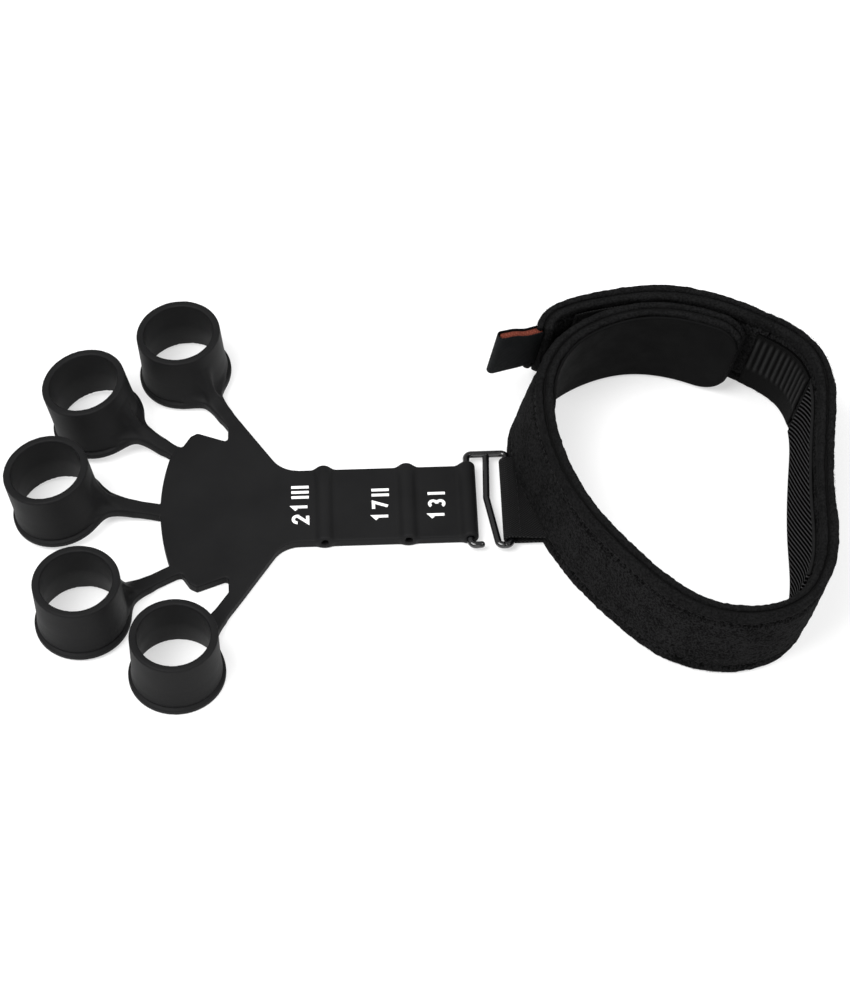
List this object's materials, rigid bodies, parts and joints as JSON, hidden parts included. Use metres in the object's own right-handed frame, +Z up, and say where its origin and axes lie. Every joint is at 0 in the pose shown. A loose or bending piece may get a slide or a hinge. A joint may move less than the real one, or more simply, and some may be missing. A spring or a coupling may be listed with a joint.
{
  "type": "finger exerciser",
  "caption": "Hand extension exerciser: silicone finger rings on a palm plate, graded elastic band, wire hook and padded wrist strap with a closing flap.",
  "frame": {"origin": "centre of the palm plate's underside, on the table", "axes": "+X along the band from the finger rings to the wrist strap, +Y to the side of fingers 1 and 2, +Z up from the table"},
  "size_m": [0.2457, 0.1397, 0.034],
  "materials": {
    "silicone": "satin",
    "level_print": "matte",
    "hook_enamel": "gloss",
    "keeper_tape": "matte",
    "plush_loop": "matte",
    "foam": "matte",
    "lining": "matte",
    "smooth_panel": "satin",
    "twill_tape": "matte",
    "elastic": "matte",
    "thread": "satin",
    "hook_tape": "matte",
    "tab_ribbon": "satin",
    "tab_core": "satin"
  },
  "bodies": {
    "palm": {"palm_plate": "silicone", "level_mark_21": "level_print"},
    "finger_1_arm": {"finger_arm_1": "silicone"},
    "finger_1_ring": {"finger_ring_1": "silicone"},
    "finger_2_arm": {"finger_arm_2": "silicone"},
    "finger_2_ring": {"finger_ring_2": "silicone"},
    "finger_3_arm": {"finger_arm_3": "silicone"},
    "finger_3_ring": {"finger_ring_3": "silicone"},
    "finger_4_arm": {"finger_arm_4": "silicone"},
    "finger_4_ring": {"finger_ring_4": "silicone"},
    "finger_5_arm": {"finger_arm_5": "silicone"},
    "finger_5_ring": {"finger_ring_5": "silicone"},
    "band": {"band_fold": "silicone", "tension_band": "silicone", "level_mark_17": "level_print", "level_mark_13": "level_print"},
    "hook": {"wire_hook": "hook_enamel"},
    "strap": {"strap_plush": "plush_loop", "strap_core": "foam", "strap_lining": "lining", "tongue_panel": "smooth_panel", "reinforcing_webbing": "twill_tape", "ribbed_elastic": "elastic", "seam_threads": "thread", "keeper_webbing": "keeper_tape", "keeper_stitching": "thread"},
    "flap": {"flap_plush": "plush_loop", "flap_core": "foam", "flap_lining": "lining", "flap_hook_tape": "hook_tape", "flap_seam_threads": "thread"},
    "tab": {"pull_tab": "tab_ribbon", "pull_tab_core": "tab_core"}
  },
  "joints": [
    {"name": "finger_1_flex", "type": "hinge", "parent": "palm", "child": "finger_1_arm", "pos_m": [-0.0013, 0.03205, 0.0016], "axis": [0.8266, 0.5627, 0], "range_deg": [-20, 35], "stiffness_Nm_per_rad": 0.05, "deforming": ["finger_arm_1"]},
    {"name": "finger_1_stretch", "type": "slide", "parent": "finger_1_arm", "child": "finger_1_ring", "axis": [-0.5595, 0.8219, 0.1067], "range_m": [0, 0.012], "stiffness_N_per_m": 600, "deforming": ["finger_arm_1"]},
    {"name": "finger_2_flex", "type": "hinge", "parent": "palm", "child": "finger_2_arm", "pos_m": [-0.01935, 0.02235, 0.0016], "axis": [0.4489, 0.8936, 0], "range_deg": [-20, 35], "stiffness_Nm_per_rad": 0.05, "deforming": ["finger_arm_2"]},
    {"name": "finger_2_stretch", "type": "slide", "parent": "finger_2_arm", "child": "finger_2_ring", "axis": [-0.8455, 0.4247, 0.3238], "range_m": [0, 0.012], "stiffness_N_per_m": 600, "deforming": ["finger_arm_2"]},
    {"name": "finger_3_flex", "type": "hinge", "parent": "palm", "child": "finger_3_arm", "pos_m": [-0.0233, 0, 0.0016], "axis": [0.0651, 0.9979, 0], "range_deg": [-20, 35], "stiffness_Nm_per_rad": 0.05, "deforming": ["finger_arm_3"]},
    {"name": "finger_3_stretch", "type": "slide", "parent": "finger_3_arm", "child": "finger_3_ring", "axis": [-0.9731, 0.0635, 0.2213], "range_m": [0, 0.012], "stiffness_N_per_m": 600, "deforming": ["finger_arm_3"]},
    {"name": "finger_4_flex", "type": "hinge", "parent": "palm", "child": "finger_4_arm", "pos_m": [-0.01935, -0.02235, 0.0016], "axis": [-0.5088, 0.8609, 0], "range_deg": [-20, 35], "stiffness_Nm_per_rad": 0.05, "deforming": ["finger_arm_4"]},
    {"name": "finger_4_stretch", "type": "slide", "parent": "finger_4_arm", "child": "finger_4_ring", "axis": [-0.8598, -0.5082, 0.0496], "range_m": [0, 0.012], "stiffness_N_per_m": 600, "deforming": ["finger_arm_4"]},
    {"name": "finger_5_flex", "type": "hinge", "parent": "palm", "child": "finger_5_arm", "pos_m": [-0.0013, -0.03205, 0.0016], "axis": [-0.8361, 0.5486, 0], "range_deg": [-20, 35], "stiffness_Nm_per_rad": 0.05, "deforming": ["finger_arm_5"]},
    {"name": "finger_5_stretch", "type": "slide", "parent": "finger_5_arm", "child": "finger_5_ring", "axis": [-0.5486, -0.8361, 0], "range_m": [0, 0.012], "stiffness_N_per_m": 600, "deforming": ["finger_arm_5"]},
    {"name": "band_fold_bend", "type": "hinge", "parent": "palm", "child": "band", "pos_m": [0.034, 0, 0.0016], "axis": [0, 1, 0], "range_deg": [-45, 60], "stiffness_Nm_per_rad": 0.04, "deforming": ["band_fold"]},
    {"name": "hook_turn", "type": "hinge", "parent": "band", "child": "hook", "pos_m": [0.0684, 0, 0.0028], "axis": [0, 1, 0], "range_deg": [-60, 80]},
    {"name": "strap_swing", "type": "hinge", "parent": "hook", "child": "strap", "pos_m": [0.0804, 0, 0.0028], "axis": [0, 1, 0], "range_deg": [-45, 60]},
    {"name": "flap_peel", "type": "hinge", "parent": "strap", "child": "flap", "pos_m": [0.15504, 0.0487, 0.017], "axis": [-0.144, 0.144, -0.9791], "range_deg": [0, 75]},
    {"name": "tab_flick", "type": "hinge", "parent": "flap", "child": "tab", "pos_m": [0.08663, 0.04117, 0.024], "axis": [0.144, -0.144, 0.9791], "range_deg": [-40, 40], "stiffness_Nm_per_rad": 0.002}
  ]
}
